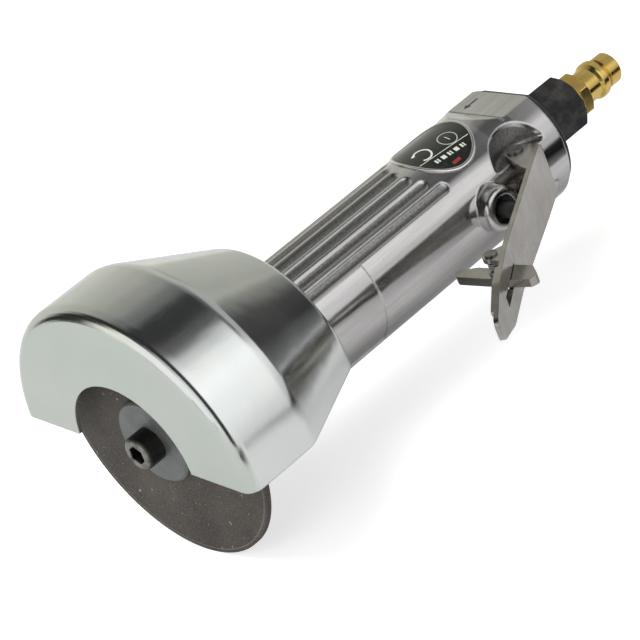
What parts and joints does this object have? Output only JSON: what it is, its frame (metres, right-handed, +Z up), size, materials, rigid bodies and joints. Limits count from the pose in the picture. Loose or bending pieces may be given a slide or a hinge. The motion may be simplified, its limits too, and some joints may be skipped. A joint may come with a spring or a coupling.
{
  "type": "pneumatic cut off tool",
  "caption": "Hand held air driven cut off tool: ribbed metal barrel, half round guard over a thin abrasive disc, sprung throttle lever with safety catch, and a quick coupling nipple.",
  "frame": {"origin": "centre of the disc screw's front face, on the spindle's axis", "axes": "+X along the spindle towards the air inlet, -Y towards the throttle lever, +Z up, 6 degrees from the middle of the guard"},
  "size_m": [0.1996, 0.112, 0.0825],
  "materials": {
    "zinc_plate": "smooth bright zinc plating over pressed steel",
    "polished_aluminium": "polished die casting",
    "nickel_steel": "satin nickel on stamped steel",
    "black_steel": "black oxide, satin",
    "grey_steel": "matte turned steel",
    "bearing_steel": "ground steel",
    "spring_steel": "drawn wire",
    "brass": "turned brass",
    "abrasive": "resin bonded grit",
    "label": "gloss black with a silver rim",
    "black_cast": "black, semi-matte",
    "seal_rubber": "matte",
    "vane_resin": "fibre resin",
    "felt": "pressed felt"
  },
  "bodies": {
    "housing": {"housing": "polished_aluminium", "label_plate": "label", "lock_ring": "black_steel", "dust_seal": "seal_rubber", "front_end_plate": "bearing_steel", "front_bearing_outer": "bearing_steel", "cylinder_liner": "bearing_steel", "cylinder_pin": "bearing_steel", "rear_end_plate": "bearing_steel", "rear_bearing_outer": "bearing_steel", "valve_bushing": "black_steel", "valve_seal": "seal_rubber", "valve_seat": "seal_rubber", "valve_spring": "spring_steel", "valve_plug": "bearing_steel", "inlet_bushing": "black_steel", "inlet_seal": "seal_rubber", "inlet_screen": "brass", "exhaust_deflector": "black_cast", "muffler": "felt", "inlet_nipple": "brass", "nipple_washer": "brass"},
    "spindle": {"rotor": "bearing_steel", "rotor_vanes": "vane_resin", "front_bearing_inner": "bearing_steel", "rear_bearing_inner": "bearing_steel", "inner_flange": "grey_steel", "cutting_disc": "abrasive", "outer_flange": "grey_steel", "disc_screw": "black_steel"},
    "front_balls": {"front_bearing_balls": "bearing_steel"},
    "rear_balls": {"rear_bearing_balls": "bearing_steel"},
    "guard": {"guard": "zinc_plate", "clamp_screw": "black_steel", "clamp_nut": "black_steel"},
    "lever": {"throttle_lever": "nickel_steel", "lever_pin": "nickel_steel", "catch_pin": "nickel_steel"},
    "catch": {"safety_catch": "nickel_steel", "catch_spring": "spring_steel"},
    "stem": {"valve_stem": "black_steel"}
  },
  "joints": [
    {"name": "spindle_spin", "type": "hinge", "parent": "housing", "child": "spindle", "pos_m": [0, 0, 0], "axis": [1, 0, 0], "continuous": true},
    {"name": "front_balls_spin", "type": "hinge", "parent": "housing", "child": "front_balls", "pos_m": [0, 0, 0], "axis": [1, 0, 0], "continuous": true},
    {"name": "rear_balls_spin", "type": "hinge", "parent": "housing", "child": "rear_balls", "pos_m": [0, 0, 0], "axis": [1, 0, 0], "continuous": true},
    {"name": "guard_turn", "type": "hinge", "parent": "housing", "child": "guard", "pos_m": [0, 0, 0], "axis": [1, 0, 0], "continuous": true},
    {"name": "lever_press", "type": "hinge", "parent": "housing", "child": "lever", "pos_m": [0.1413, -0.0162, 0], "axis": [0, 0, -1], "range_deg": [0, 18], "stiffness_Nm_per_rad": 0.3, "springref_deg": -20.05},
    {"name": "catch_swing", "type": "hinge", "parent": "lever", "child": "catch", "pos_m": [0.09575, -0.04718, 0], "axis": [0, 0, -1], "range_deg": [0, 45]},
    {"name": "valve_slide", "type": "slide", "parent": "housing", "child": "stem", "axis": [0, 1, 0], "range_m": [0, 0.00633], "deforming": ["valve_spring"]}
  ],
  "couplings": [
    {"joint": "front_balls_spin", "follows": "spindle_spin", "ratio": 0.392},
    {"joint": "rear_balls_spin", "follows": "spindle_spin", "ratio": 0.374},
    {"joint": "catch_swing", "follows": "lever_press", "ratio": 2.5},
    {"joint": "valve_slide", "follows": "lever_press", "m_per_rad": 0.020139}
  ]
}
